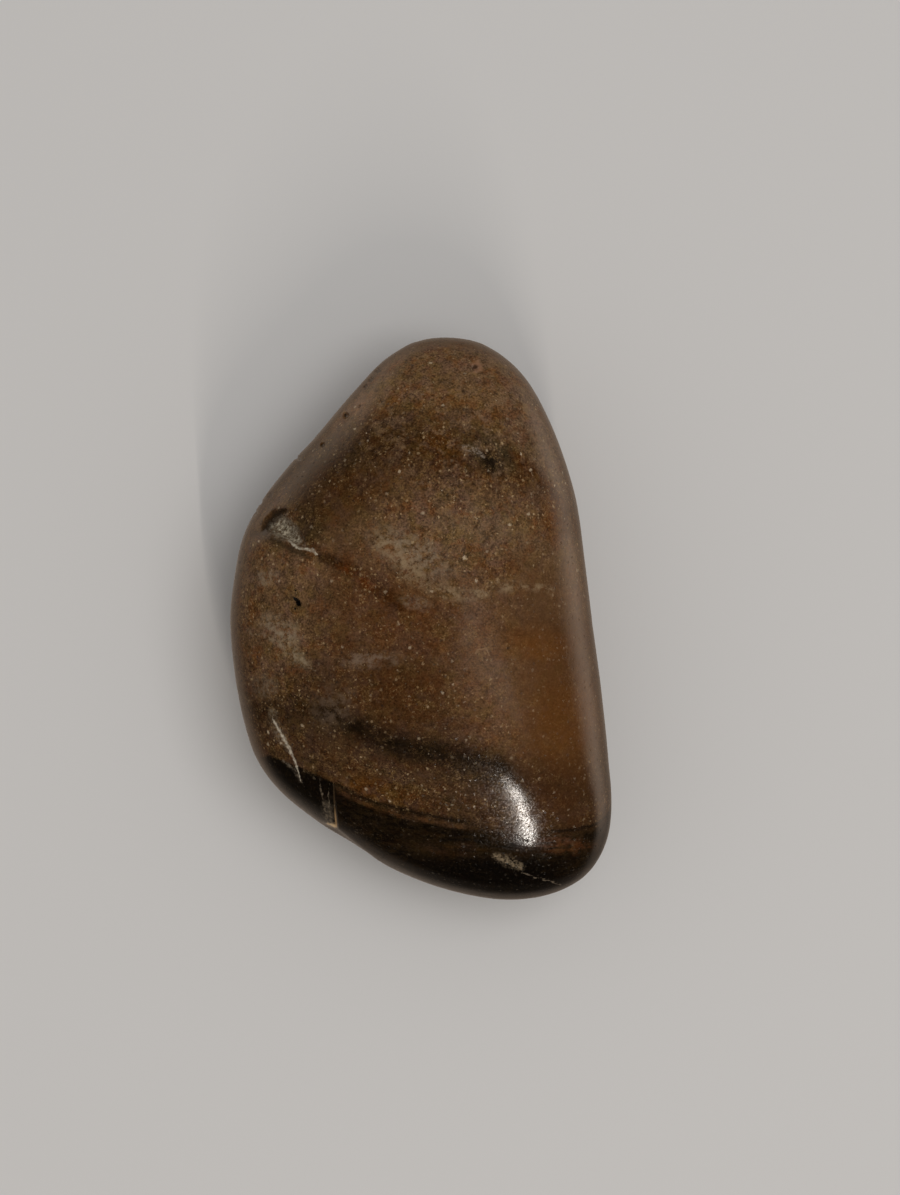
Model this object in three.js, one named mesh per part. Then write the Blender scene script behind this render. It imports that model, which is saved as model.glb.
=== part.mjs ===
// A pebble of banded jasper, tumbled smooth, as one solid.
//
// The pebble lies on its broad side. Millimetres, +Z up: z = 0 is the table, +Y points to the
// narrow end, and the origin is on the table under the middle of the length and the width.
//
// Its shape is a smooth lump bounded by an upright wall, whose outline is the one seen from
// above, and by the worn faces that tumbling left on the top and the underside. Each of them
// is a distance from the pebble's middle, and a soft maximum of those distances rounds the
// edges where they meet. Chips, pits and a healed crack are then pressed into that lump.

import * as THREE from "three";
import { mergeVertices } from "three/addons/utils/BufferGeometryUtils.js";

// Driving dimensions
const LENGTH = 42; // along Y
const WIDTH = 28.4; // along X
const MIDDLE_HEIGHT = 7.9; // of the lump's middle, above the table

// Outline seen from above, from the narrow end round by the right, as shares of half the
// width and half the length.
const OUTLINE = [
  [0.13, 1.0],
  [0.33, 0.975],
  [0.53, 0.87],
  [0.65, 0.735],
  [0.75, 0.57],
  [0.82, 0.4],
  [0.865, 0.18],
  [0.9, -0.02],
  [0.95, -0.28],
  [0.985, -0.52],
  [1.0, -0.67],
  [0.97, -0.795],
  [0.88, -0.9],
  [0.72, -0.97],
  [0.47, -1.0],
  [0.12, -0.96],
  [-0.19, -0.875],
  [-0.4, -0.785],
  [-0.58, -0.705],
  [-0.76, -0.6],
  [-0.87, -0.49],
  [-0.935, -0.35],
  [-0.98, -0.18],
  [-1.0, 0.01],
  [-0.975, 0.16],
  [-0.935, 0.3],
  [-0.86, 0.41],
  [-0.7, 0.555],
  [-0.56, 0.655],
  [-0.44, 0.74],
  [-0.32, 0.83],
  [-0.18, 0.925],
  [-0.04, 0.982],
];

// Worn faces of the top and of the underside: the compass direction that each leans to (0 is
// +X, 90 is +Y), its tilt from facing straight up or straight down, both in degrees, and its
// distance from the pebble's middle.
const TOP_FACES = [
  { name: "broad top", toward: 178, tilt: 5, reach: 9.3 },
  { name: "right shoulder", toward: 6, tilt: 29, reach: 10.6 },
  { name: "left shoulder", toward: 192, tilt: 32, reach: 10.6 },
  { name: "upper left slope", toward: 138, tilt: 41, reach: 12.9 },
  { name: "narrow end", toward: 82, tilt: 32, reach: 14.6 },
  { name: "lower slope", toward: -80, tilt: 15, reach: 10.9 },
  { name: "steep end", toward: -88, tilt: 32, reach: 14.2 },
  { name: "lower left slope", toward: -126, tilt: 33, reach: 12.2 },
];
const UNDER_FACES = [
  { name: "broad underside", toward: 180, tilt: 1, reach: 8.25 },
  { name: "under the left", toward: 185, tilt: 42, reach: 14.0 },
  { name: "under the upper left", toward: 132, tilt: 46, reach: 14.4 },
  { name: "under the right", toward: -4, tilt: 36, reach: 12.2 },
  { name: "under the narrow end", toward: 80, tilt: 30, reach: 14.6 },
  { name: "under the broad end", toward: -84, tilt: 34, reach: 17.8 },
];
const FACE_SHARPNESS = 11; // of the edges between worn faces of one side
const RIM_SHARPNESS = 8; // of the edge between the two sides
const WALL_SHARPNESS = 7; // of the turn from either side into the wall
const GROUND_BLEND = 0.22; // height over which the underside turns into its flat resting face

const middle = new THREE.Vector3(0, 0, MIDDLE_HEIGHT);
const radians = THREE.MathUtils.degToRad;

// A direction that leans to a compass direction by a tilt from straight up.
function leaning(toward, tilt) {
  const flat = Math.sin(radians(tilt));
  return new THREE.Vector3(
    flat * Math.cos(radians(toward)),
    flat * Math.sin(radians(toward)),
    Math.cos(radians(tilt)),
  );
}

const topFaces = TOP_FACES.map(({ toward, tilt, reach }) => {
  return { facing: leaning(toward, tilt), reach };
});
const underFaces = UNDER_FACES.map(({ toward, tilt, reach }) => {
  return { facing: leaning(toward, 180 - tilt), reach };
});

// How far out a point lies by the worn faces of one side: 1 on them, less inside them.
function sideGauge(faces, x, y, z) {
  let sum = 0;
  for (const { facing, reach } of faces) {
    const share = (facing.x * x + facing.y * y + facing.z * z) / reach;
    if (share > 0) sum += share ** FACE_SHARPNESS;
  }
  return sum ** (1 / FACE_SHARPNESS);
}

// How far out it lies by all of them. The two sides meet in a rounder edge.
function wornGauge(x, y, z) {
  const top = sideGauge(topFaces, x, y, z);
  const under = sideGauge(underFaces, x, y, z);
  return (top ** RIM_SHARPNESS + under ** RIM_SHARPNESS) ** (1 / RIM_SHARPNESS);
}

// The least that the worn faces make of a point in a compass direction, at any height: there
// the lump is at its widest.
const NARROWING_STEPS = 30;

function leastWornGauge(x, y) {
  let low = -Math.hypot(x, y);
  let high = -low;
  for (let step = 0; step < NARROWING_STEPS; step++) {
    const third = (high - low) / 3;
    if (wornGauge(x, y, low + third) < wornGauge(x, y, high - third)) high -= third;
    else low += third;
  }
  return wornGauge(x, y, low);
}

// The outline's points as [angle, radius], read off a closed curve that fills the width and
// the length.
const OUTLINE_SAMPLES = 2880;

function outlinePoints() {
  const curve = new THREE.CatmullRomCurve3(
    OUTLINE.map(([x, y]) => new THREE.Vector3(x, y, 0)),
    true,
    "centripetal",
  );
  const points = curve.getPoints(OUTLINE_SAMPLES).slice(1);
  const box = new THREE.Box3().setFromPoints(points);
  const size = box.getSize(new THREE.Vector3());
  const centre = box.getCenter(new THREE.Vector3());
  return points
    .map((p) => [((p.x - centre.x) / size.x) * WIDTH, ((p.y - centre.y) / size.y) * LENGTH])
    .map(([x, y]) => ({ angle: Math.atan2(y, x), radius: Math.hypot(x, y) }))
    .sort((a, b) => a.angle - b.angle);
}

// The wall's distance from the middle in each compass direction. The worn faces round the
// wall's top and foot, so it stands further out than the outline, by as much as leaves the
// lump's widest level on the outline.
const WALL_STEPS = 720;
const wallRadii = wallTable();

function wallTable() {
  const points = outlinePoints();
  const table = [];
  let next = 0;
  for (let step = 0; step < WALL_STEPS; step++) {
    const angle = -Math.PI + (2 * Math.PI * step) / WALL_STEPS;
    while (next < points.length - 1 && points[next].angle < angle) next++;
    const { radius } = points[next];
    const worn = leastWornGauge(radius * Math.cos(angle), radius * Math.sin(angle));
    table.push(radius / (1 - worn ** WALL_SHARPNESS) ** (1 / WALL_SHARPNESS));
  }
  return table;
}

function wallRadius(x, y) {
  const turn = (Math.atan2(y, x) / (2 * Math.PI) + 0.5) * WALL_STEPS;
  const low = Math.floor(turn);
  const share = turn - low;
  const at = (n) => wallRadii[n % WALL_STEPS];
  return at(low) * (1 - share) + at(low + 1) * share;
}

// How far out a point lies, seen from the middle: 1 on the lump's surface, less inside it.
function gauge(x, y, z) {
  const wall = Math.hypot(x, y) / wallRadius(x, y);
  return (wall ** WALL_SHARPNESS + wornGauge(x, y, z) ** WALL_SHARPNESS) ** (1 / WALL_SHARPNESS);
}

// The lump's surface in a direction from the middle, in the part's own frame.
function lumpPoint(direction) {
  const distance = 1 / gauge(direction.x, direction.y, direction.z);
  return direction.clone().multiplyScalar(distance).add(middle);
}

// The point of the lump's top that lies over a place on the table.
const CLIMBING_STEPS = 30;

function overTable(x, y) {
  let low = 0;
  let high = LENGTH;
  for (let step = 0; step < CLIMBING_STEPS; step++) {
    const z = (low + high) / 2;
    if (gauge(x, y, z) < 1) low = z;
    else high = z;
  }
  return new THREE.Vector3(x, y, low).add(middle);
}

// The point of the lump's surface in a compass direction and at a slope above (or below) the
// level of the middle.
function onLump(toward, rise) {
  return lumpPoint(leaning(toward, 90 - rise));
}

// Hollows pressed into the lump. Each runs along a spine of places with a radius and a depth
// at each. A pit's spine is one place. The edge says how squarely the floor meets the wall.
const SOFT_EDGE = 2;
const SQUARE_EDGE = 4;

function pit(at, radius, depth) {
  return { edge: SOFT_EDGE, spine: [{ at, radius, depth }] };
}

const HOLLOWS = [
  {
    name: "chip's pocket",
    edge: SQUARE_EDGE,
    spine: [
      { at: overTable(-10.7, 7.3), radius: 0.75, depth: 0.3 },
      { at: overTable(-10.0, 6.8), radius: 1.0, depth: 0.5 },
      { at: overTable(-9.0, 5.9), radius: 0.75, depth: 0.4 },
      { at: overTable(-7.8, 5.0), radius: 0.4, depth: 0.16 },
    ],
  },
  {
    name: "crease from the chip to the rim",
    edge: SOFT_EDGE,
    spine: [
      { at: overTable(-12.6, 6.0), radius: 0.45, depth: 0.12 },
      { at: overTable(-11.0, 6.9), radius: 0.7, depth: 0.22 },
    ],
  },
  {
    name: "healed crack",
    edge: SOFT_EDGE,
    spine: [
      { at: overTable(-7.6, 4.8), radius: 0.5, depth: 0.12 },
      { at: overTable(-5.2, 3.5), radius: 0.65, depth: 0.16 },
      { at: overTable(-3.4, 2.7), radius: 0.6, depth: 0.12 },
      { at: overTable(-1.4, 1.4), radius: 0.5, depth: 0.06 },
    ],
  },
  {
    name: "flake scar at the lower left rim",
    edge: SQUARE_EDGE,
    spine: [
      { at: onLump(-112, 0), radius: 1.1, depth: 0.2 },
      { at: onLump(-106, -4), radius: 1.5, depth: 0.22 },
      { at: onLump(-97, -7), radius: 0.9, depth: 0.08 },
    ],
  },
  {
    name: "dished upper left side",
    edge: SOFT_EDGE,
    spine: [
      { at: onLump(124, -4), radius: 5, depth: 0.3 },
      { at: onLump(142, -10), radius: 6, depth: 0.35 },
    ],
  },
  {
    name: "dished right side",
    edge: SOFT_EDGE,
    spine: [
      { at: onLump(24, -14), radius: 5, depth: 0.3 },
      { at: onLump(-14, -22), radius: 6, depth: 0.4 },
    ],
  },
  {
    name: "dip below the healed crack",
    edge: SOFT_EDGE,
    spine: [
      { at: overTable(-7.5, 1.5), radius: 5, depth: 0.12 },
      { at: overTable(-2.5, -1.5), radius: 5.5, depth: 0.16 },
    ],
  },
  pit(overTable(-8.9, 1.25), 0.42, 0.5), // the open black pit
  pit(overTable(4.0, 18.45), 0.6, 0.25),
  pit(overTable(3.1, 16.7), 0.45, 0.2),
  pit(overTable(-3.2, 18.35), 0.45, 0.25),
  pit(overTable(-4.0, 17.4), 0.5, 0.3),
  pit(overTable(-5.5, 15.0), 0.6, 0.35),
  pit(overTable(-9.1, 11.9), 0.5, 0.25),
  pit(overTable(-11.1, 9.1), 0.5, 0.25),
  pit(overTable(12.9, -4.6), 0.5, 0.25),
  pit(onLump(-88, -10), 0.55, 0.25),
  pit(onLump(-96, -24), 0.65, 0.3),
  pit(onLump(38, -28), 0.6, 0.3),
  pit(onLump(160, -32), 0.6, 0.3),
];

// The stretches of a spine, as pairs of its places. A pit's one place makes a pair with itself.
function stretches(spine) {
  if (spine.length === 1) return [{ from: spine[0], to: spine[0] }];
  return spine.slice(1).map((to, n) => ({ from: spine[n], to }));
}

const nearest = new THREE.Vector3();

// How far a point lies from a stretch, and the hollow's radius and depth beside it.
function besideStretch(point, { from, to }) {
  const line = new THREE.Line3(from.at, to.at);
  const along = from === to ? 0 : line.closestPointToPointParameter(point, true);
  return {
    distance: line.at(along, nearest).distanceTo(point),
    radius: THREE.MathUtils.lerp(from.radius, to.radius, along),
    depth: THREE.MathUtils.lerp(from.depth, to.depth, along),
  };
}

// How deep a hollow presses the surface in at a point.
function pressed(point, { spine, edge }) {
  let deepest = 0;
  for (const stretch of stretches(spine)) {
    const { distance, radius, depth } = besideStretch(point, stretch);
    if (distance < radius) {
      deepest = Math.max(deepest, depth * (1 - (distance / radius) ** edge) ** 2);
    }
  }
  return deepest;
}

// Turns the lowest part of the underside into a flat face at z = 0.
function ground(height) {
  if (height <= -GROUND_BLEND) return 0;
  if (height >= GROUND_BLEND) return height;
  return (height + GROUND_BLEND) ** 2 / (4 * GROUND_BLEND);
}

function stonePoint(direction) {
  const point = lumpPoint(direction);
  const depth = HOLLOWS.reduce((sum, hollow) => sum + pressed(point, hollow), 0);
  point.addScaledVector(direction, -depth);
  point.z = ground(point.z);
  return point;
}

// Mesh: an even ball of triangles, split further in a hollow, and less so with the distance
// from its rim.
const BALL_DETAIL = 14;
const EDGES_ACROSS = { [SOFT_EDGE]: 4.2, [SQUARE_EDGE]: 7 }; // edges over a hollow's width
const COARSENING = 1.2; // growth of the longest edge with the distance from the rim
const SPLIT_ROUNDS = 4;

function longestEdgeAt(point) {
  let longest = Infinity;
  for (const { spine, edge } of HOLLOWS) {
    for (const stretch of stretches(spine)) {
      const { distance, radius } = besideStretch(point, stretch);
      const outside = Math.max(distance - radius, 0);
      longest = Math.min(longest, (2 * radius) / EDGES_ACROSS[edge] + COARSENING * outside);
    }
  }
  return longest;
}

function ball() {
  const round = new THREE.IcosahedronGeometry(1, BALL_DETAIL);
  round.deleteAttribute("normal");
  round.deleteAttribute("uv");
  const merged = mergeVertices(round, 1e-5);
  const position = merged.getAttribute("position");
  const points = [];
  for (let n = 0; n < position.count; n++) {
    points.push(new THREE.Vector3().fromBufferAttribute(position, n).normalize());
  }
  const triangles = [];
  for (let n = 0; n < merged.index.count; n += 3) {
    triangles.push([merged.index.getX(n), merged.index.getX(n + 1), merged.index.getX(n + 2)]);
  }
  return { points, triangles };
}

// Splits each edge that is too long at its middle. Neighbours share the new point, so the
// mesh stays closed.
function splitLongEdges({ points, triangles }) {
  const middles = new Map();
  const split = (a, b) => {
    const key = Math.min(a, b) + "_" + Math.max(a, b);
    if (!middles.has(key)) {
      const between = points[a].clone().add(points[b]).normalize();
      const length = lumpPoint(points[a]).distanceTo(lumpPoint(points[b]));
      const tooLong = length > longestEdgeAt(lumpPoint(between));
      middles.set(key, tooLong ? points.push(between) - 1 : null);
    }
    return middles.get(key);
  };
  const made = triangles.flatMap(([a, b, c]) => {
    let corners = [a, b, c];
    let cuts = [split(a, b), split(b, c), split(c, a)];
    const count = cuts.filter((cut) => cut !== null).length;
    if (count === 0) return [corners];
    // Turns the triangle until its uncut edges, if any, come last.
    while (cuts[0] === null || (count === 2 && cuts[1] === null)) {
      corners = [corners[1], corners[2], corners[0]];
      cuts = [cuts[1], cuts[2], cuts[0]];
    }
    const [p, q, r] = corners;
    const [pq, qr, rp] = cuts;
    if (count === 1) return [[p, pq, r], [pq, q, r]];
    if (count === 2) return [[pq, q, qr], [p, pq, qr], [p, qr, r]];
    return [[p, pq, rp], [pq, q, qr], [rp, qr, r], [pq, qr, rp]];
  });
  return { points, triangles: made };
}

function stoneGeometry() {
  let mesh = ball();
  for (let round = 0; round < SPLIT_ROUNDS; round++) mesh = splitLongEdges(mesh);
  const geometry = new THREE.BufferGeometry().setFromPoints(mesh.points.map(stonePoint));
  geometry.setIndex(mesh.triangles.flat());
  geometry.computeVertexNormals();
  return geometry;
}

const jasper = new THREE.MeshStandardMaterial({ color: 0x4e3b29, roughness: 0.38, metalness: 0 });

const stone = new THREE.Mesh(stoneGeometry(), jasper);
stone.name = "banded_jasper";

const part = new THREE.Group();
part.add(stone);

export default part;
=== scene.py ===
import math

import bmesh
import bpy
import numpy as np
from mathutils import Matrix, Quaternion, Vector, noise


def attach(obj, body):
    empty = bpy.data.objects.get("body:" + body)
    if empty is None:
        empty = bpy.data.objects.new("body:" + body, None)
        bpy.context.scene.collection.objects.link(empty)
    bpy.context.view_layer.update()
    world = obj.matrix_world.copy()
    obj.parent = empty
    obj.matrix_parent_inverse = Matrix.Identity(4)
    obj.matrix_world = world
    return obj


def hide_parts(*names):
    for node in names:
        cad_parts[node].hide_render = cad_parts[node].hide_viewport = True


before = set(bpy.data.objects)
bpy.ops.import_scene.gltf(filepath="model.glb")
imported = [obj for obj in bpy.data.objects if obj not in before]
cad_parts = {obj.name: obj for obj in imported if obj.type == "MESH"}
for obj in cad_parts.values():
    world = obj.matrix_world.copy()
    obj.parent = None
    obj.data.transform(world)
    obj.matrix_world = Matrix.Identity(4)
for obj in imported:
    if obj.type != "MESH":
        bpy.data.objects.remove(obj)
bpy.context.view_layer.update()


# The pebble's skin: one tumbled piece of banded jasper. Its form is the CAD solid's, and that
# mesh's facets are worn off as the barrel wore the stone, first to an even net and then smooth.
MM = 0.001
NET_STEP = 0.25
WEAR_ROUNDS = 144
WEAR_IN = 0.5
WEAR_OUT = -0.507

blank = bmesh.new()
blank.from_mesh(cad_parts["banded_jasper"].data)
bmesh.ops.remove_doubles(blank, verts=blank.verts, dist=0.001 * MM)
bmesh.ops.scale(blank, vec=Vector((1.0, 1.0, 1.0)) / MM, verts=blank.verts)
pebble_mesh = bpy.data.meshes.new("jasper_pebble")
blank.to_mesh(pebble_mesh)
blank.free()
pebble = bpy.data.objects.new("jasper_pebble", pebble_mesh)
bpy.context.scene.collection.objects.link(pebble)
net = pebble.modifiers.new("even net", "REMESH")
net.mode = "VOXEL"
net.voxel_size = NET_STEP
evened = bpy.data.meshes.new_from_object(pebble.evaluated_get(bpy.context.evaluated_depsgraph_get()))
pebble.modifiers.clear()

points = np.empty(len(evened.vertices) * 3)
evened.vertices.foreach_get("co", points)
points = points.reshape(-1, 3)
evened.calc_loop_triangles()
triangles = np.empty(len(evened.loop_triangles) * 3, np.int64)
evened.loop_triangles.foreach_get("vertices", triangles)
triangles = triangles.reshape(-1, 3)
edges = np.empty(len(evened.edges) * 2, np.int64)
evened.edges.foreach_get("vertices", edges)
edges = edges.reshape(-1, 2)
neighbours = np.bincount(edges.ravel(), minlength=len(points))


def towards_neighbours(places, share):
    """Moves every point by a share of its way to the middle of its neighbours."""
    middle = np.empty_like(places)
    for axis in range(3):
        middle[:, axis] = np.bincount(edges[:, 0], places[edges[:, 1], axis], len(places))
        middle[:, axis] += np.bincount(edges[:, 1], places[edges[:, 0], axis], len(places))
    return places + share * (middle / neighbours[:, None] - places)


for _ in range(WEAR_ROUNDS):
    points = towards_neighbours(points, WEAR_IN)
    points = towards_neighbours(points, WEAR_OUT)


# The marks that are real hollows: the chip and its lip, the healed crack, the flake scar with its
# step, the black pit, the open ring pits and the pinholes along the rims. Places are plan millimetres.
# The net is cut finer round each of them first, so that their walls have enough points.
FINE_PLACES = (
    # x, y, reach, longest edge
    (-9.5, 6.5, 2.3, 0.10),
    (-8.2, 5.0, 1.1, 0.10),
    (-9.0, 1.3, 0.75, 0.07),
    (-6.5, -14.4, 1.5, 0.10),
    (-9.9, -8.9, 1.2, 0.13),
    (-9.0, -11.2, 0.9, 0.13),
    (4.0, 18.5, 0.8, 0.08),
    (3.1, 16.65, 0.6, 0.08),
    (-5.5, 15.0, 0.8, 0.09),
    (-3.6, 17.8, 1.2, 0.10),
    (-7.2, 12.8, 0.6, 0.10),
    (-9.1, 11.9, 0.8, 0.10),
    (-11.6, 8.9, 0.9, 0.10),
    (6.4, -2.1, 0.5, 0.10),
)
PINHOLES = (
    # x, y, reach, depth
    (-3.2, 18.36, 0.24, 0.14),
    (-3.72, 17.69, 0.22, 0.14),
    (-4.09, 17.17, 0.21, 0.14),
    (-5.52, 14.99, 0.25, 0.16),
    (-7.21, 12.81, 0.2, 0.12),
    (-11.13, 9.14, 0.26, 0.12),
    (-11.92, 8.65, 0.2, 0.1),
    (-12.19, 7.88, 0.2, 0.1),
    (-4.46, 15.61, 0.13, 0.08),
    (-2.82, 15.91, 0.12, 0.06),
    (-1.93, 16.65, 0.12, 0.06),
    (4.01, 18.51, 0.3, 0.14),
    (3.12, 16.65, 0.2, 0.1),
    (6.39, -2.08, 0.17, 0.07),
)


def cut_finer(places, faces, longest):
    """Cuts every edge that is longer than longest at its middle in two, and its triangles with it."""
    sides = np.sort(np.stack([faces, np.roll(faces, -1, 1)], 2).reshape(-1, 2), 1)
    kinds, which = np.unique(sides, axis=0, return_inverse=True)
    middle = places[kinds].mean(1)
    cut = np.linalg.norm(places[kinds[:, 0]] - places[kinds[:, 1]], axis=1) > longest(middle)
    number = np.full(len(kinds), -1)
    number[cut] = len(places) + np.arange(cut.sum())
    halves = number[which.ravel()].reshape(-1, 3)
    places = np.vstack([places, middle[cut]])
    cuts = (halves >= 0).sum(1)
    kept = [faces[cuts == 0]]
    for turn in range(3):
        corner = np.roll(faces, -turn, 1)
        half = np.roll(halves, -turn, 1)
        one = (cuts == 1) & (half[:, 0] >= 0)
        two = (cuts == 2) & (half[:, 2] < 0)
        a, b, c = corner[one].T
        ab = half[one, 0]
        kept += [np.stack([a, ab, c], 1), np.stack([ab, b, c], 1)]
        a, b, c = corner[two].T
        ab, bc, _ = half[two].T
        kept += [np.stack([a, ab, c], 1), np.stack([ab, b, bc], 1), np.stack([ab, bc, c], 1)]
    a, b, c = faces[cuts == 3].T
    ab, bc, ca = halves[cuts == 3].T
    kept += [np.stack(part, 1) for part in ((a, ab, ca), (ab, b, bc), (ca, bc, c), (ab, bc, ca))]
    return places, np.vstack(kept)


def wanted_edge(middle):
    """The longest edge that the net may have at a place: short beside a mark on the upper side."""
    longest = np.full(len(middle), 9.0)
    for x, y, reach, edge in FINE_PLACES:
        away = np.hypot(middle[:, 0] - x, middle[:, 1] - y)
        beside = edge + 0.35 * np.maximum(away - reach, 0.0)
        longest = np.where(middle[:, 2] > 5.0, np.minimum(longest, beside), longest)
    return longest


for _ in range(2):
    points, triangles = cut_finer(points, triangles, wanted_edge)

facing = np.cross(points[triangles[:, 1]] - points[triangles[:, 0]],
                  points[triangles[:, 2]] - points[triangles[:, 0]])
outwards = np.stack([
    sum(np.bincount(triangles[:, corner], facing[:, axis], len(points)) for corner in range(3))
    for axis in range(3)
], 1)
outwards /= np.linalg.norm(outwards, axis=1)[:, None]
upper = np.clip((points[:, 2] - 4.0) / 2.0, 0.0, 1.0)


def along(spine, walls=2.0):
    """How deep a groove along (x, y, reach, depth) places is under each point; high walls are steep."""
    deepest = np.zeros(len(points))
    for (ax, ay, a_reach, a_depth), (bx, by, b_reach, b_depth) in zip(spine, spine[1:]):
        run = np.array([bx - ax, by - ay])
        offset = points[:, :2] - (ax, ay)
        share = np.clip(offset @ run / (run @ run), 0.0, 1.0)
        away = np.linalg.norm(offset - share[:, None] * run, axis=1)
        reach = a_reach + (b_reach - a_reach) * share
        depth = a_depth + (b_depth - a_depth) * share
        inside = np.clip(1.0 - (away / reach) ** walls, 0.0, 1.0)
        deepest = np.maximum(deepest, depth * inside ** 1.5)
    return deepest * upper


relief = np.zeros(len(points))
chip_floor = along([(-10.9, 6.9, 0.55, 0.2), (-10.3, 6.9, 0.8, 0.26), (-9.5, 6.4, 0.7, 0.2),
                    (-8.6, 5.6, 0.35, 0.1)], 4.0)
relief -= chip_floor
relief -= along([(-11.5, 6.5, 0.25, 0.05), (-11.2, 7.1, 0.42, 0.12), (-10.6, 7.6, 0.45, 0.14),
                 (-9.9, 7.8, 0.3, 0.08)])
relief -= along([(-10.75, 5.95, 0.25, 0.05), (-10.0, 5.55, 0.3, 0.06), (-9.0, 4.95, 0.25, 0.06),
                 (-8.0, 4.5, 0.2, 0.03)])
relief += along([(-9.7, 5.9, 0.14, 0.05), (-9.2, 5.4, 0.2, 0.12), (-8.75, 5.16, 0.17, 0.12),
                 (-8.2, 5.1, 0.2, 0.14), (-7.75, 5.0, 0.2, 0.1), (-7.5, 4.72, 0.12, 0.04)])
relief -= along([(-7.3, 4.6, 0.3, 0.05), (-5.7, 3.85, 0.4, 0.06), (-3.7, 2.75, 0.45, 0.05),
                 (-1.3, 1.3, 0.4, 0.02)])
relief -= along([(-9.06, 1.45, 0.15, 0.2), (-8.98, 1.36, 0.2, 0.32), (-8.84, 1.15, 0.17, 0.32),
                 (-8.76, 1.0, 0.1, 0.14)], 4.0)
relief -= along([(-9.11, 0.79, 0.1, 0.14), (-9.1, 0.76, 0.1, 0.14)])
relief -= along([(-9.09, 2.1, 0.09, 0.1), (-9.08, 2.08, 0.09, 0.1)])
relief -= along([(-9.6, 12.1, 0.16, 0.03), (-9.1, 11.92, 0.2, 0.14), (-8.7, 11.7, 0.14, 0.03)])
relief -= along([(-6.32, -12.2, 0.1, 0.02), (-6.3, -13.4, 0.13, 0.06), (-6.24, -15.5, 0.15, 0.1)])
relief -= along([(-10.9, -7.3, 0.1, 0.02), (-10.1, -8.6, 0.13, 0.05), (-9.1, -10.6, 0.12, 0.03)])
for x, y, reach, depth in PINHOLES:
    relief -= along([(x, y, reach, depth), (x + 0.01, y + 0.04, reach, depth)], 3.0)
broken = np.flatnonzero(chip_floor > 0.01)
for point in broken:
    grit = noise.noise(Vector(points[point]) * 3.1) + 0.6 * noise.noise(Vector(points[point]) * 7.3)
    relief[point] += 0.3 * chip_floor[point] * grit

points += relief[:, None] * outwards
points[:, 2] = np.maximum(points[:, 2], 0.0)
worn = bpy.data.meshes.new("jasper_pebble_worn")
worn.vertices.add(len(points))
worn.vertices.foreach_set("co", (points * MM).ravel())
worn.loops.add(triangles.size)
worn.loops.foreach_set("vertex_index", triangles.ravel())
worn.polygons.add(len(triangles))
worn.polygons.foreach_set("loop_start", np.arange(0, triangles.size, 3))
worn.update(calc_edges=True)
worn.validate()
pebble.data = worn


# The finish of the stone: banded jasper, brown to olive, polished to a satin gloss. Its beds are one
# curved stack through the whole stone, and grains, clouds, cracks and dust lie in or on them.
jasper = bpy.data.materials.new("banded_jasper_polished")
jasper.use_nodes = True
web = jasper.node_tree
web.nodes.clear()


def feed(tree, socket, value):
    """Links a socket to a node's output, or sets it where the value is plain."""
    if isinstance(value, bpy.types.NodeSocket):
        tree.links.new(value, socket)
    elif value is not None:
        socket.default_value = value


def maths(tree, operation, first, second=None, third=None):
    """A Math node's output."""
    made = tree.nodes.new("ShaderNodeMath")
    made.operation = operation
    for socket, value in zip(made.inputs, (first, second, third)):
        feed(tree, socket, value)
    return made.outputs[0]


def vectors(tree, operation, first, second=None, scale=None):
    """A Vector Math node's output: its number for a length or a product, else its vector."""
    made = tree.nodes.new("ShaderNodeVectorMath")
    made.operation = operation
    feed(tree, made.inputs[0], first)
    feed(tree, made.inputs[1], second)
    feed(tree, made.inputs[3], scale)
    number = operation in ("LENGTH", "DISTANCE", "DOT_PRODUCT")
    return made.outputs[1 if number else 0]


def between(tree, value, low, high, from_low=0.0, from_high=1.0):
    """A smooth step of a value from low to high, as a mask unless other ends are given."""
    made = tree.nodes.new("ShaderNodeMapRange")
    made.interpolation_type = "SMOOTHSTEP"
    for socket, number in zip(made.inputs, (value, low, high, from_low, from_high)):
        feed(tree, socket, number)
    return made.outputs[0]


def mottle(tree, place, size, detail=2.0, rough=0.5, seed=0.0):
    """A noise of lumps of that size in millimetres: its number, and its three colour channels."""
    moved = vectors(tree, "ADD", place, (seed, 1.7 * seed, -0.6 * seed))
    made = tree.nodes.new("ShaderNodeTexNoise")
    feed(tree, made.inputs["Vector"], moved)
    made.inputs["Scale"].default_value = 1.0 / size
    made.inputs["Detail"].default_value = detail
    made.inputs["Roughness"].default_value = rough
    return made.outputs["Fac"], made.outputs["Color"]


def over(tree, mask, below, above, strength=1.0, mode="MIX"):
    """Lays a colour over another where the mask is."""
    share = maths(tree, "MULTIPLY", mask, strength)
    made = tree.nodes.new("ShaderNodeMix")
    made.data_type = "RGBA"
    made.blend_type = mode
    feed(tree, made.inputs[0], share)
    feed(tree, made.inputs[6], below)
    feed(tree, made.inputs[7], above)
    return made.outputs[2]


def swatch(red, green, blue):
    """The linear colour of a swatch that is known by its screen values."""
    return tuple((v / 255 / 12.92) if v < 10.3 else ((v / 255 + 0.055) / 1.055) ** 2.4
                 for v in (red, green, blue)) + (1.0,)


def new_group(name, sockets):
    """A shader node group with those inputs, each a name and its usual value, and its two ends."""
    made = bpy.data.node_groups.new(name, "ShaderNodeTree")
    for label, value in sockets:
        kind = "NodeSocketVector" if isinstance(value, tuple) else "NodeSocketFloat"
        made.interface.new_socket(label, in_out="INPUT", socket_type=kind).default_value = value
    made.interface.new_socket("Mask", in_out="OUTPUT", socket_type="NodeSocketFloat")
    return made, made.nodes.new("NodeGroupInput").outputs, made.nodes.new("NodeGroupOutput").inputs


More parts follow.
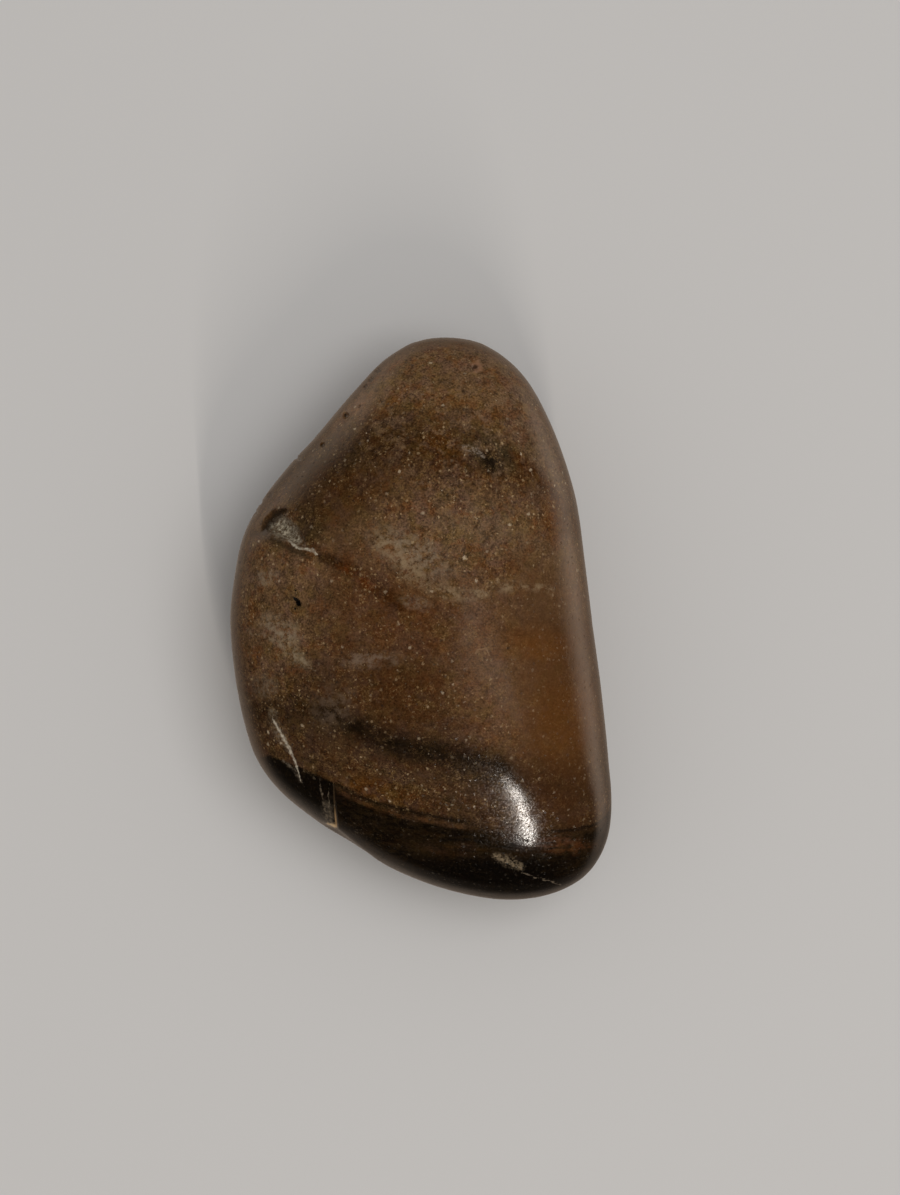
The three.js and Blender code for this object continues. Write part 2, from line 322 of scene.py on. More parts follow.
patch, given, result = new_group("Jasper patch", (
    ("Place", (0.0, 0.0, 0.0)), ("Middle", (0.0, 0.0, 0.0)), ("Reach", (1.0, 1.0, 1.0)),
    ("Turn", 0.0), ("Edge", 0.4)))
offset = vectors(patch, "SUBTRACT", given["Place"], given["Middle"])
angle = maths(patch, "MULTIPLY", given["Turn"], -math.pi / 180.0)
turned = patch.nodes.new("ShaderNodeVectorRotate")
turned.rotation_type = "Z_AXIS"
feed(patch, turned.inputs["Vector"], offset)
feed(patch, turned.inputs["Angle"], angle)
away = vectors(patch, "LENGTH", vectors(patch, "DIVIDE", turned.outputs[0], given["Reach"]))
feed(patch, result["Mask"], between(
    patch, away, maths(patch, "ADD", 1.0, given["Edge"]),
    maths(patch, "SUBTRACT", 1.0, given["Edge"])))

crack, given, result = new_group("Jasper crack", (
    ("Place", (0.0, 0.0, 0.0)), ("Start", (0.0, 0.0, 0.0)), ("End", (1.0, 0.0, 0.0)),
    ("Start width", 0.1), ("End width", 0.1), ("Edge", 0.5)))
run = vectors(crack, "SUBTRACT", given["End"], given["Start"])
offset = vectors(crack, "SUBTRACT", given["Place"], given["Start"])
share = maths(crack, "DIVIDE", vectors(crack, "DOT_PRODUCT", offset, run),
              vectors(crack, "DOT_PRODUCT", run, run))
share = maths(crack, "MINIMUM", maths(crack, "MAXIMUM", share, 0.0), 1.0)
away = vectors(crack, "DISTANCE", offset, vectors(crack, "SCALE", run, scale=share))
width = maths(crack, "ADD", given["Start width"], maths(
    crack, "MULTIPLY", share, maths(crack, "SUBTRACT", given["End width"], given["Start width"])))
feed(crack, result["Mask"], between(
    crack, away, maths(crack, "MULTIPLY", width, maths(crack, "ADD", 1.0, given["Edge"])),
    maths(crack, "MULTIPLY", width, maths(crack, "SUBTRACT", 1.0, given["Edge"]))))

grains, given, result = new_group("Jasper grains", (
    ("Place", (0.0, 0.0, 0.0)), ("Size", 0.4), ("Share", 0.3), ("Radius", 0.2)))
in_cells = vectors(grains, "SCALE", given["Place"], scale=maths(grains, "DIVIDE", 1.0, given["Size"]))
cells = grains.nodes.new("ShaderNodeTexVoronoi")
cells.inputs["Scale"].default_value = 1.0
feed(grains, cells.inputs["Vector"], in_cells)
drawn = grains.nodes.new("ShaderNodeSeparateColor")
feed(grains, drawn.inputs[0], cells.outputs["Color"])
present = maths(grains, "LESS_THAN", drawn.outputs[0], given["Share"])
radius = maths(grains, "MULTIPLY", given["Radius"], maths(
    grains, "ADD", 0.45, maths(grains, "MULTIPLY", drawn.outputs[1], 0.9)))
dot = between(grains, cells.outputs["Distance"], radius, maths(grains, "MULTIPLY", radius, 0.45))
bright = maths(grains, "ADD", 0.35, maths(grains, "MULTIPLY", drawn.outputs[2], 0.65))
feed(grains, result["Mask"], maths(grains, "MULTIPLY", maths(grains, "MULTIPLY", dot, present), bright))


def placed(tree, group, **values):
    """One use of a group with its own values, and its mask."""
    made = tree.nodes.new("ShaderNodeGroup")
    made.node_tree = group
    for label, value in values.items():
        feed(tree, made.inputs[label.replace("_", " ").capitalize()], value)
    return made.outputs[0]


def both(*masks):
    """Where all of the masks are: their product."""
    product = masks[0]
    for mask in masks[1:]:
        product = maths(web, "MULTIPLY", product, mask)
    return product


def straying(lump, rough, seed, reach):
    """A vector that strays over lumps of that size, by up to about half that reach."""
    drift = vectors(web, "ADD", mottle(web, place, lump, 2.0, rough, seed)[1], (-0.5, -0.5, -0.5))
    return vectors(web, "SCALE", drift, scale=reach)


def in_plan(spot):
    """A place as it is seen from above."""
    return vectors(web, "MULTIPLY", spot, (1.0, 1.0, 0.0))


where = web.nodes.new("ShaderNodeTexCoord")
place = vectors(web, "SCALE", where.outputs["Object"], scale=1.0 / MM)
axes = web.nodes.new("ShaderNodeSeparateXYZ")
feed(web, axes.inputs[0], place)
x, y, z = axes.outputs
slow = straying(4.0, 0.5, 3.1, 1.6)
quick = straying(0.7, 0.6, 8.4, 0.55)
flat = in_plan(vectors(web, "ADD", place, quick))
soft_flat = in_plan(vectors(web, "ADD", place, vectors(web, "ADD", slow, quick)))
true_flat = in_plan(place)
nearby_flat = in_plan(vectors(web, "ADD", place, straying(0.2, 0.6, 1.9, 0.3)))
topside = between(web, z, 4.0, 8.0)
on_top = between(web, z, 7.2, 8.8)

# The beds: height in the stack, which bows over the stone's middle.
bow = maths(web, "SUBTRACT", maths(web, "MINIMUM", maths(web, "MAXIMUM", z, 7.0), 18.0), 16.0)
bed = maths(web, "ADD", y, maths(web, "MULTIPLY", x, 0.17))
bed = maths(web, "SUBTRACT", bed, maths(web, "MULTIPLY", maths(web, "MULTIPLY", y, 0.05), bow))
wander = mottle(web, place, 6.0, 3.0, 0.55, 1.3)[0]
ripple = mottle(web, place, 0.9, 3.0, 0.6, 5.7)[0]
loose_bed = maths(web, "ADD", bed, maths(web, "MULTIPLY", maths(web, "SUBTRACT", wander, 0.5), 2.2))
loose_bed = maths(web, "ADD", loose_bed, maths(web, "MULTIPLY", maths(web, "SUBTRACT", ripple, 0.5), 1.0))
tight_bed = maths(web, "ADD", bed, maths(web, "MULTIPLY", maths(web, "SUBTRACT", ripple, 0.5), 0.5))

BED_COLOURS = (
    # height in the stack in mm, colour as it looks
    (-25.0, (24, 18, 11)),
    (-21.5, (14, 9, 5)),
    (-19.5, (22, 14, 7)),
    (-18.0, (50, 33, 16)),
    (-16.4, (50, 33, 16)),
    (-14.0, (68, 46, 27)),
    (-10.5, (62, 43, 25)),
    (-8.0, (70, 47, 28)),
    (-5.0, (78, 52, 31)),
    (-2.0, (79, 53, 31)),
    (0.5, (76, 49, 26)),
    (2.5, (88, 62, 39)),
    (5.0, (88, 62, 38)),
    (7.0, (92, 68, 45)),
    (9.5, (85, 59, 36)),
    (11.6, (68, 45, 23)),
    (13.5, (72, 51, 28)),
    (16.0, (90, 64, 36)),
    (19.0, (110, 81, 53)),
    (23.0, (104, 80, 58)),
)
LOWEST_BED, HIGHEST_BED = BED_COLOURS[0][0], BED_COLOURS[-1][0]
level = maths(web, "DIVIDE", maths(web, "SUBTRACT", loose_bed, LOWEST_BED), HIGHEST_BED - LOWEST_BED)
stack = web.nodes.new("ShaderNodeValToRGB")
stack.color_ramp.interpolation = "B_SPLINE"
for _ in range(len(BED_COLOURS) - 2):
    stack.color_ramp.elements.new(0.5)
for stop, (height, _) in zip(stack.color_ramp.elements, BED_COLOURS):
    stop.position = (height - LOWEST_BED) / (HIGHEST_BED - LOWEST_BED)
for stop, (_, look) in zip(stack.color_ramp.elements, BED_COLOURS):
    stop.color = swatch(*look)
feed(web, stack.inputs[0], level)
colour = stack.outputs[0]


# The broad tints of the stone: beds that thicken, fade or change colour across it.
TINTS = (
    # colour, middle, reach, turn in degrees, edge, strength
    ((94, 70, 48), (3.4, 6.8), (6.5, 2.6), 6.0, 0.6, 0.7),
    ((82, 51, 26), (-1.4, 0.2), (3.8, 2.4), -35.0, 0.6, 0.85),
    ((98, 70, 46), (5.4, -4.5), (2.8, 6.0), 10.0, 0.7, 0.8),
    ((90, 55, 22), (10.2, -7.4), (2.4, 3.6), 8.0, 0.7, 0.85),
    ((64, 38, 18), (9.6, -12.6), (2.6, 2.4), 0.0, 0.6, 0.8),
    ((98, 74, 50), (-10.6, 1.4), (3.4, 6.0), 0.0, 0.6, 0.8),
    ((58, 40, 22), (-6.2, 10.4), (4.6, 2.8), 38.0, 0.6, 0.75),
    ((98, 60, 24), (8.6, -1.7), (2.0, 1.1), -8.0, 0.8, 0.75),
    ((74, 44, 11), (1.7, 12.7), (2.1, 0.9), -8.0, 0.6, 0.9),
    ((64, 40, 14), (-1.6, 13.0), (2.2, 0.8), 8.0, 0.7, 0.6),
    ((82, 46, 12), (9.5, 7.2), (0.8, 1.4), 10.0, 0.7, 0.85),
    ((60, 49, 31), (4.9, 12.3), (2.2, 1.1), -28.0, 0.6, 0.9),
    ((26, 20, 11), (4.9, 11.5), (1.1, 0.5), -35.0, 0.7, 0.85),
    ((46, 36, 16), (-8.0, 6.9), (1.2, 1.5), -20.0, 0.6, 0.7),
    ((72, 44, 16), (-5.2, 9.2), (3.0, 1.6), 35.0, 0.6, 0.75),
    ((64, 37, 12), (-1.6, -5.3), (3.6, 2.4), -20.0, 0.6, 0.75),
    ((76, 46, 12), (-3.4, -12.6), (3.0, 0.9), -14.0, 0.7, 0.85),
    ((64, 45, 26), (-7.5, -6.0), (3.0, 3.0), 0.0, 0.6, 0.5),
    ((70, 46, 14), (-9.0, -5.8), (1.6, 1.2), 0.0, 0.6, 0.7),
    ((102, 76, 44), (-1.0, 17.2), (4.2, 1.8), 0.0, 0.7, 0.5),
)


def oval(middle, reach, turn, edge, seen_place=soft_flat):
    """A soft oval in plan, turned by that many degrees."""
    return placed(web, patch, place=seen_place, middle=(*middle, 0.0), reach=(*reach, 1.0),
                  turn=turn, edge=edge)


for look, middle, reach, turn, edge, strength in TINTS:
    tinted = both(oval(middle, reach, turn, edge), topside)
    colour = over(web, tinted, colour, swatch(*look), strength)


# Soft bands under the grain: the dusty corner beyond the arc, the amber seam that bounds it, and
# the healed crack that runs on from the chip. Each is a line of short stretches seen from above.
def traced(spine, edge=0.5, along_place=flat):
    """A mask along (x, y, half width) places."""
    mask = 0.0
    for (ax, ay, a_width), (bx, by, b_width) in zip(spine, spine[1:]):
        stretch = placed(web, crack, place=along_place, start=(ax, ay, 0.0), end=(bx, by, 0.0),
                         start_width=a_width, end_width=b_width, edge=edge)
        mask = stretch if mask == 0.0 else maths(web, "MAXIMUM", mask, stretch)
    return maths(web, "MULTIPLY", mask, on_top)


bent_flat = vectors(web, "ADD", flat, vectors(web, "MULTIPLY", slow, (0.6, 0.6, 0.0)))
corner = placed(web, crack, place=bent_flat, start=(8.3, 14.9, 0.0), end=(13.2, 9.4, 0.0),
                start_width=2.5, end_width=2.5, edge=0.2)
corner_dust = maths(web, "ADD", 0.35, both(ripple, 0.6))
colour = over(web, both(corner, topside), colour, swatch(95, 75, 58), corner_dust)
arc = traced(((6.6, 11.9, 0.2), (7.9, 11.0, 0.4), (9.2, 9.7, 0.42), (10.4, 8.2, 0.55), (10.9, 6.6, 0.6)),
             0.95, soft_flat)
colour = over(web, arc, colour, swatch(68, 38, 9), 0.85)
healed = traced(((-7.5, 4.7, 0.25), (-6.2, 4.05, 0.45), (-4.9, 3.35, 0.6), (-3.5, 2.6, 0.6),
                 (-2.2, 1.75, 0.6), (-1.2, 0.6, 0.4)), 0.95, soft_flat)
colour = over(web, healed, colour, swatch(62, 33, 8), 0.85)
healed_core = traced(((-6.1, 3.85, 0.2), (-4.9, 3.2, 0.4), (-3.6, 2.6, 0.25)), 0.95, soft_flat)
colour = over(web, healed_core, colour, swatch(82, 38, 5), 0.85)
seam_start = traced(((-7.5, 4.75, 0.2), (-6.9, 4.35, 0.4), (-5.9, 3.8, 0.2)), 0.95, soft_flat)
colour = over(web, seam_start, colour, swatch(40, 30, 12), 0.5)


# The thin dark beds: the smoky band across the lower third, the black lamina under it that widens
# into a wedge at the left, and the black end below.
def bed_mask(height, thickness, edge, place_in_stack=tight_bed):
    """A bed of that thickness about that height in the stack, with soft faces."""
    away = maths(web, "ABSOLUTE", maths(web, "SUBTRACT", place_in_stack, height))
    return between(web, away, thickness * (0.5 + edge), thickness * max(0.5 - edge, 0.0))


def bed_line(rows):
    """The height in the stack that a bed has along the stone, from (x, height) rows."""
    low, high = rows[0][0], rows[-1][0]
    across = maths(web, "DIVIDE", maths(web, "SUBTRACT", x, low), high - low)
    made = web.nodes.new("ShaderNodeFloatCurve")
    heights = [height for _, height in rows]
    least, most = min(heights) - 0.1, max(heights) + 0.1
    curve = made.mapping.curves[0]
    for _ in range(len(rows) - 2):
        curve.points.new(0.5, 0.5)
    for point, (at, height) in zip(curve.points, rows):
        point.location = ((at - low) / (high - low), (height - least) / (most - least))
    made.mapping.update()
    feed(web, made.inputs["Value"], across)
    return maths(web, "ADD", maths(web, "MULTIPLY", made.outputs[0], most - least), least)


smoke = bed_line(((-9.4, -8.95), (-6.6, -8.4), (-4.9, -8.8), (-3.1, -9.3), (0.0, -9.6), (3.2, -9.45),
                  (5.1, -9.8), (6.6, -10.3)))
smoke_clouds = between(web, mottle(web, place, 1.3, 3.0, 0.6, 2.2)[0], 0.3, 0.55, 0.72, 1.0)
smoke_ends = both(between(web, x, -10.5, -5.0, 0.4, 1.0), between(web, x, 8.2, 5.6, 0.12, 1.0))
smoky = both(bed_mask(smoke, 2.0, 0.5), smoke_ends, smoke_clouds)
colour = over(web, smoky, colour, swatch(20, 12, 4), 0.97)
under_smoke = bed_mask(maths(web, "SUBTRACT", smoke, 1.3), 2.2, 0.5)
under_smoke = both(under_smoke, between(web, x, 0.5, 4.5), between(web, x, 9.0, 6.5))
colour = over(web, under_smoke, colour, swatch(48, 36, 24), 0.7)
lamina = bed_line(((-11.4, -14.9), (-9.0, -14.5), (-6.4, -14.8), (-2.9, -15.6), (0.6, -15.6), (5.1, -15.7),
                   (11.4, -15.7)))
below_lamina = maths(web, "SUBTRACT", lamina, tight_bed)
dark_end = between(web, below_lamina, -0.1, between(web, x, -4.0, 3.0, 0.35, 1.3))
clear_right = oval((8.6, -14.8), (3.4, 1.6), 0.0, 0.5)
dark_end = both(dark_end, maths(web, "SUBTRACT", 1.0, both(clear_right, 0.8)))
drawn_out = vectors(web, "MULTIPLY", place, (0.3, 1.0, 1.0))
streaky = between(web, mottle(web, drawn_out, 0.4, 4.0, 0.65, 3.3)[0], 0.36, 0.62)
colour = over(web, dark_end, colour, swatch(30, 20, 7), 0.97)
colour = over(web, both(dark_end, streaky), colour, swatch(9, 5, 2), 0.85)
brown_zone = oval((3.6, -17.1), (4.2, 0.7), -8.0, 0.5)
colour = over(web, both(brown_zone, streaky), colour, swatch(58, 38, 14), 0.6)
rust_zone = oval((10.3, -16.6), (2.4, 0.7), 3.0, 0.5)
colour = over(web, both(rust_zone, streaky), colour, swatch(84, 50, 26), 0.7)
black_left = both(dark_end, between(web, x, -5.8, -6.5))
colour = over(web, black_left, colour, swatch(11, 7, 3), 0.93)
black_end = both(oval((5.4, -19.1), (6.6, 1.7), -5.0, 0.4), topside)
colour = over(web, black_end, colour, swatch(7, 4, 2), 0.97)
right_of_step = between(web, x, -6.4, -5.9)
upper_line = bed_mask(maths(web, "SUBTRACT", lamina, 0.05), 0.5, 0.5)
upper_line = both(upper_line, right_of_step, between(web, x, 4.6, 3.0))
colour = over(web, upper_line, colour, swatch(22, 14, 6), 0.85)
tan_line = bed_mask(maths(web, "SUBTRACT", lamina, 0.68), 0.6, 0.5)
tan_line = both(tan_line, right_of_step, between(web, x, 4.6, 2.0))
tan_line = both(tan_line, between(web, streaky, 0.0, 1.0, 1.0, 0.55))
colour = over(web, tan_line, colour, swatch(74, 50, 28), 0.85)
right_streak = both(bed_mask(-15.9, 0.35, 0.5), between(web, x, 8.6, 10.2))
colour = over(web, right_streak, colour, swatch(20, 12, 6), 0.85)


# Grains, dust and fine mottle through the whole stone: its colour shifts between olive, orange and
# rose, and tan and white grains lie in clouds with dark points between them. The right side is calm.
grain_place = vectors(web, "ADD", place, straying(0.15, 0.6, 6.6, 0.28))
fine = mottle(web, place, 0.15, 2.0, 0.65, 4.4)[0]
medium = mottle(web, place, 0.5, 3.0, 0.65, 6.1)[0]
broad = mottle(web, place, 1.7, 3.0, 0.6, 3.7)[0]
cloud = mottle(web, place, 2.2, 3.0, 0.6, 9.2)[0]
LIVELY_AREAS = (
    # middle, reach, turn in degrees, how much more or less grain it has
    ((1.5, 15.6), (7.0, 5.0), 0.0, 0.35),
    ((-10.5, -1.0), (3.4, 9.5), 0.0, 0.4),
    ((-3.0, -12.5), (5.5, 1.8), -15.0, 0.3),
    ((3.0, 6.8), (6.0, 3.6), 0.0, 0.5),
    ((10.2, -5.0), (3.6, 9.5), 6.0, -0.5),
)
liveliness = 0.8
for middle, reach, turn, change in LIVELY_AREAS:
    area = both(oval(middle, reach, turn, 0.6), topside)
    liveliness = maths(web, "ADD", liveliness, both(area, change))
blotches = mottle(web, place, 1.4, 4.0, 0.65, 12.5)[1]
tones = web.nodes.new("ShaderNodeSeparateColor")
feed(web, tones.inputs[0], blotches)
for channel, look, strength in ((0, (74, 56, 26), 0.4), (1, (98, 52, 16), 0.42), (2, (98, 72, 58), 0.45)):
    shift = both(between(web, tones.outputs[channel], 0.47, 0.63), liveliness)
    colour = over(web, shift, colour, swatch(*look), strength, "COLOR")
shade = both(maths(web, "SUBTRACT", fine, 0.5), 2.6)
shade = maths(web, "ADD", shade, both(maths(web, "SUBTRACT", medium, 0.5), 1.5))
shade = maths(web, "ADD", shade, both(maths(web, "SUBTRACT", broad, 0.5), 0.5))
shade = maths(web, "ADD", 1.0, both(shade, liveliness))
narrow_end = oval((2.2, 14.6), (7.5, 5.6), -10.0, 0.5)
lumps = between(web, mottle(web, place, 0.85, 4.0, 0.65, 10.4)[0], 0.5, 0.62)
colour = over(web, both(lumps, narrow_end, topside), colour, swatch(112, 88, 66), 0.5)
shade = maths(web, "MAXIMUM", shade, 0.45)
grain_tone = web.nodes.new("ShaderNodeHueSaturation")
feed(web, grain_tone.inputs["Color"], colour)
feed(web, grain_tone.inputs["Value"], shade)
colour = grain_tone.outputs[0]
upper_half = between(web, below_lamina, 0.8, -0.6, 0.12, 1.0)
crowd = both(between(web, cloud, 0.33, 0.62, 0.15, 1.0), upper_half, liveliness)
crowd = both(crowd, between(web, smoky, 0.0, 1.0, 1.0, 0.35))
ridged = maths(web, "SUBTRACT", mottle(web, place, 0.4, 3.0, 0.6, 2.9)[0], 0.5)
ridged = maths(web, "ABSOLUTE", ridged)
worms = both(between(web, ridged, 0.035, 0.0), between(web, medium, 0.42, 0.6))


def strewn(aside, size, share, radius):
    """Grains strewn in cells of that size, set aside from the other kinds of grain."""
    own_place = vectors(web, "ADD", grain_place, aside)
    return placed(web, grains, place=own_place, size=size, share=share, radius=radius)


small_specks = placed(web, grains, place=grain_place, size=0.22, share=0.5, radius=0.33)
middling_specks = strewn((5.2, 8.1, 2.7), 0.38, 0.5, 0.27)
large_specks = strewn((3.3, 1.1, 7.7), 0.8, 0.4, 0.17)
dark_points = strewn((9.1, 4.4, 2.2), 0.42, 0.4, 0.26)
colour = over(web, both(dark_points, liveliness), colour, swatch(30, 18, 9), 0.42)
colour = over(web, both(worms, crowd), colour, swatch(144, 114, 72), 0.5)
colour = over(web, both(small_specks, crowd), colour, swatch(160, 130, 90), 0.65)
colour = over(web, both(middling_specks, crowd), colour, swatch(184, 156, 116), 0.7)
colour = over(web, both(large_specks, crowd), colour, swatch(200, 180, 150), 0.8)


# Hazes: pale milky clouds just under the polish, on the left side, over the middle and by the chip, and one
# painted sheen beside the step at the lower left.
HAZES_AND_SHEEN = (
    # colour, middle, reach, turn, strength
    ((138, 120, 98), (-0.6, 4.9), (2.8, 1.2), -25.0, 0.7),
    ((122, 106, 88), (-0.3, 1.2), (1.0, 0.45), -10.0, 0.7),
    ((120, 102, 86), (-3.6, -2.9), (1.9, 0.6), 3.0, 0.65),
    ((100, 82, 66), (-6.3, -6.3), (1.6, 1.3), 30.0, 0.6),
    ((138, 120, 98), (-11.3, 3.0), (0.9, 0.5), 20.0, 0.8),
    ((140, 124, 102), (-10.2, -0.7), (1.5, 0.8), -30.0, 0.85),
    ((134, 118, 94), (-9.2, -2.6), (1.3, 0.5), -35.0, 0.8),
    ((110, 94, 76), (-11.2, -5.0), (1.1, 0.8), -20.0, 0.7),
    ((118, 98, 74), (4.6, 6.8), (3.6, 1.8), -10.0, 0.35),
    # painted sheen on the step's left face
    ((104, 92, 76), (-6.8, -14.4), (0.5, 1.1), 0.0, 0.5),
)
dusty = between(web, mottle(web, place, 0.7, 5.0, 0.78, 7.3)[0], 0.4, 0.62)
for look, middle, reach, turn, strength in HAZES_AND_SHEEN:
    haze_and_sheen = both(oval(middle, reach, turn, 0.6, flat), topside, dusty)
    colour = over(web, haze_and_sheen, colour, swatch(*look), strength)


# Cracks, scratches and the broken places, each a line of short stretches seen from above.
pale_seam = traced(((-3.2, 5.6, 0.5), (-1.4, 4.4, 0.55), (-0.2, 3.0, 0.5), (1.2, 2.3, 0.42),
                    (3.4, 2.0, 0.36), (6.4, 2.25, 0.36), (9.6, 2.5, 0.25)), 0.95, soft_flat)
colour = over(web, both(pale_seam, dusty), colour, swatch(138, 116, 88), 0.75)
pale_curve = traced(((-12.7, -0.9, 0.12), (-11.2, -1.3, 0.16), (-9.8, -2.1, 0.14), (-8.6, -3.0, 0.12),
                     (-7.6, -3.7, 0.08)), 0.8)
colour = over(web, both(pale_curve, dusty), colour, swatch(136, 118, 94), 0.7)
curved_scratch = traced(((4.0, -2.5, 0.04), (4.3, -2.15, 0.07), (4.7, -2.1, 0.07), (5.05, -2.55, 0.04)), 0.7)
colour = over(web, curved_scratch, colour, swatch(134, 104, 74), 0.55)
broken_grain = between(web, mottle(web, place, 0.24, 4.0, 0.75, 15.1)[0], 0.4, 0.62)
pale_bits = traced(((3.1, 12.5, 0.14), (3.9, 12.3, 0.22), (4.6, 11.8, 0.1)), 0.9, nearby_flat)
colour = over(web, both(pale_bits, broken_grain), colour, swatch(150, 134, 118), 0.75)

# The chip: its gritty floor, painted shade on its wall and under its edge, and its pale lip with a painted
# highlight along it.
pocket = traced(((-10.75, 6.75, 0.4), (-10.2, 6.75, 0.68), (-9.6, 6.4, 0.55), (-9.0, 5.8, 0.3)),
                0.7, nearby_flat)
colour = over(web, pocket, colour, swatch(88, 70, 46), 0.8)
colour = over(web, both(pocket, broken_grain), colour, swatch(186, 174, 150), 0.9)
# Painted shade on the chip's upper-left wall.
chip_wall_shade = traced(((-11.45, 6.4, 0.2), (-11.2, 7.05, 0.32), (-10.65, 7.65, 0.34), (-9.95, 7.95, 0.2)),
              0.95, nearby_flat)
colour = over(web, chip_wall_shade, colour, swatch(26, 17, 8), 0.85)
# Painted shade under the chip's lower edge.
shade_under_lip = traced(((-10.85, 5.9, 0.26), (-10.0, 5.45, 0.3), (-9.1, 4.95, 0.2), (-8.0, 4.5, 0.14)),
                  0.95, nearby_flat)
colour = over(web, shade_under_lip, colour, swatch(42, 33, 21), 0.65)
# The lip: pale broken stone, made brighter by a painted highlight along its edge.
lip_and_highlight = traced(((-9.7, 5.9, 0.05), (-9.2, 5.4, 0.1), (-8.75, 5.16, 0.07), (-8.2, 5.1, 0.1),
              (-7.75, 5.0, 0.12), (-7.5, 4.72, 0.06)), 0.6, nearby_flat)
lip_and_highlight = both(lip_and_highlight, maths(web, "ADD", 0.35, both(broken_grain, 0.65)))
colour = over(web, lip_and_highlight, colour, swatch(188, 178, 158), 0.95)
crease = traced(((-12.4, 6.2, 0.15), (-11.9, 6.3, 0.3), (-11.3, 6.2, 0.35)), 0.95, nearby_flat)
colour = over(web, crease, colour, swatch(46, 34, 25), 0.6)

# The black pit with its two dots, and the scratches, hairlines and step of the lower left.
black_pit = traced(((-9.12, 1.52, 0.12), (-8.98, 1.4, 0.13), (-8.88, 1.16, 0.14), (-8.74, 1.0, 0.05)),
                   0.3, nearby_flat)
for pit_dot in (((-9.12, 0.8, 0.06), (-9.1, 0.78, 0.06)), ((-9.09, 2.1, 0.05), (-9.07, 2.1, 0.05))):
    black_pit = maths(web, "MAXIMUM", black_pit, traced(pit_dot, 0.3, true_flat))
colour = over(web, black_pit, colour, swatch(5, 3, 2), 0.98)
scratch_spur = traced(((-10.1, -10.4, 0.08), (-9.3, -11.0, 0.1), (-8.8, -11.9, 0.1)), 0.95, nearby_flat)
colour = over(web, both(scratch_spur, dusty), colour, swatch(130, 116, 98), 0.6)
scratch_dust = traced(((-10.9, -6.9, 0.3), (-10.3, -8.6, 0.35), (-9.6, -9.6, 0.2)), 0.9)
colour = over(web, both(scratch_dust, broken_grain), colour, swatch(128, 114, 94), 0.6)
scratch = traced(((-10.85, -7.3, 0.04), (-10.48, -7.9, 0.07), (-10.1, -8.55, 0.1), (-9.66, -9.4, 0.1),
                  (-9.14, -10.56, 0.06), (-8.8, -11.9, 0.03)), 0.9, nearby_flat)
scratch = both(scratch, between(web, broken_grain, 0.0, 1.0, 0.5, 1.0))
colour = over(web, scratch, colour, swatch(196, 184, 164), 0.9)
HAIRLINES = (
    # places and half widths along each, edge
    (((-7.36, -11.6, 0.03), (-7.2, -13.1, 0.06), (-6.95, -14.7, 0.08)), 0.9),
    (((-6.75, -12.6, 0.02), (-6.7, -14.0, 0.06), (-6.6, -15.2, 0.1)), 0.9),
    (((7.4, -18.6, 0.03), (8.9, -19.1, 0.05), (10.4, -19.7, 0.03)), 0.6),
)
hairlines = 0.0
for spine, edge in HAIRLINES:
    hairlines = maths(web, "MAXIMUM", hairlines, traced(spine, edge))
colour = over(web, both(hairlines, broken_grain), colour, swatch(120, 106, 88), 0.7)
# A bright line along the step's edge: a painted highlight.
step_edge_highlight = traced(((-6.36, -11.9, 0.03), (-6.32, -13.5, 0.06), (-6.24, -15.5, 0.06)), 0.5, true_flat)
step_edge_highlight = both(step_edge_highlight, between(web, y, -13.6, -14.8, 0.12, 1.0))
colour = over(web, step_edge_highlight, colour, swatch(170, 136, 96), 0.7)
amber_chip = traced(((-6.9, -15.25, 0.14), (-6.55, -15.4, 0.26)), 0.7, nearby_flat)
colour = over(web, amber_chip, colour, swatch(236, 200, 150), 0.9)
# A pale bruised patch below the long gloss mark, partly a painted glint.
bruise_and_glint = traced(((5.5, -17.3, 0.2), (6.4, -17.7, 0.34), (7.4, -18.2, 0.2)), 0.95, nearby_flat)
colour = over(web, both(bruise_and_glint, broken_grain), colour, swatch(160, 140, 112), 0.6)
pit_rims = traced(((3.9, 18.7, 0.14), (4.2, 18.75, 0.2), (4.35, 18.4, 0.18), (4.05, 18.15, 0.18)), 0.6)
colour = over(web, pit_rims, colour, swatch(150, 112, 84), 0.6)
pit_holes = 0.0
for px, py, reach, _ in PINHOLES:
    away = vectors(web, "DISTANCE", nearby_flat, (px, py, 0.0))
    pit_holes = maths(web, "MAXIMUM", pit_holes, between(web, away, 0.85 * reach, 0.25 * reach))
colour = over(web, both(pit_holes, on_top), colour, swatch(26, 17, 10), 0.75)

# The rim: a grey brown frost where stone struck stone in the barrel, and over it a painted sheen that is
# paler on the upper and right rims and darker towards the bottom, with small dents in it.
frost_and_sheen_height = maths(web, "SUBTRACT", z, between(web, y, -13.0, -8.0, -1.5, 0.0))
frost_and_sheen = both(between(web, frost_and_sheen_height, 11.2, 9.2), between(web, z, 5.0, 8.0, 0.25, 1.0))
frost_and_sheen = both(frost_and_sheen, between(web, medium, 0.3, 0.6, 0.6, 1.0))
# The painted sheen's tone on the rim: darker towards the bottom end, paler above.
frost_and_sheen_tone = over(web, between(web, y, -15.0, -9.0), swatch(54, 42, 32), swatch(98, 79, 63))
colour = over(web, frost_and_sheen, colour, frost_and_sheen_tone, 0.75)
colour = over(web, both(frost_and_sheen, dark_points), colour, swatch(36, 25, 18), 0.7)
DENTS = (
    (-3.1, -18.4), (-2.75, -18.6), (-0.9, -19.0), (1.3, -19.8), (12.25, 4.1), (12.3, 3.6),
    (12.75, 0.7), (13.2, -3.6), (-12.3, 8.3), (-13.4, 4.2), (-10.4, -11.3),
)
DENT_REACH = 0.17
dents = 0.0
for dx, dy in DENTS:
    away = vectors(web, "DISTANCE", nearby_flat, (dx, dy, 0.0))
    dents = maths(web, "MAXIMUM", dents, between(web, away, DENT_REACH, 0.05))
colour = over(web, both(dents, on_top), colour, swatch(32, 23, 16), 0.8)

